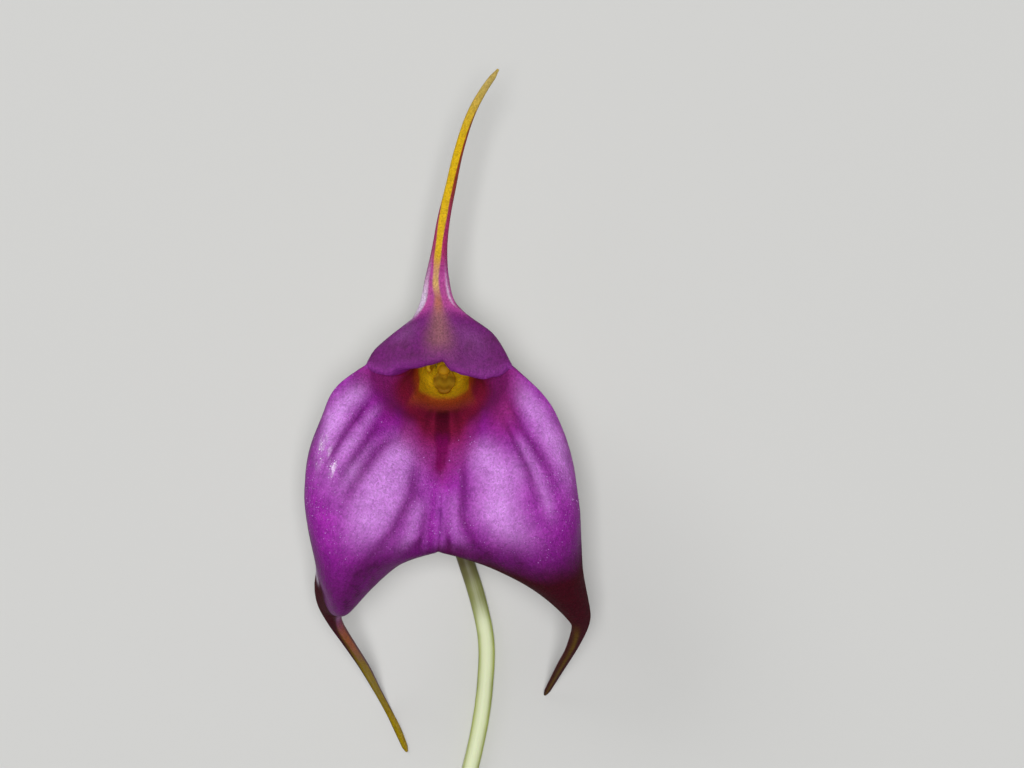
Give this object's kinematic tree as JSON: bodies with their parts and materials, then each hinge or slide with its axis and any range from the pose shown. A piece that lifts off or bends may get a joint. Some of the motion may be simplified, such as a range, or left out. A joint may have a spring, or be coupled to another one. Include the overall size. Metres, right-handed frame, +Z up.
{
  "type": "cut orchid flower",
  "caption": "Cut masdevallia flower lying face up: fused sepals with long tails round a tubular throat, on its bent ovary, bract and long thin stem.",
  "frame": {"origin": "on the surface that the flower lies on, under the middle of its outline", "axes": "+Z up, out of the flower's open face; +Y along the flower towards its upper tail, away from the cut end of the stem; +X to the right of the face seen from above"},
  "size_m": [0.0406, 0.1302, 0.0382],
  "materials": {
    "sepals": "soft satin petal",
    "petals": "waxy",
    "lip": "waxy",
    "column": "waxy",
    "anther_cap": "waxy",
    "ovary": "satin",
    "bract": "dry and papery",
    "stem": "satin"
  },
  "bodies": {
    "root": {"calyx": "sepals", "petal_left": "petals", "petal_right": "petals", "lip": "lip", "column": "column", "anther_cap": "anther_cap", "ovary": "ovary", "floral_bract": "bract", "scape": "stem"}
  },
  "joints": []
}
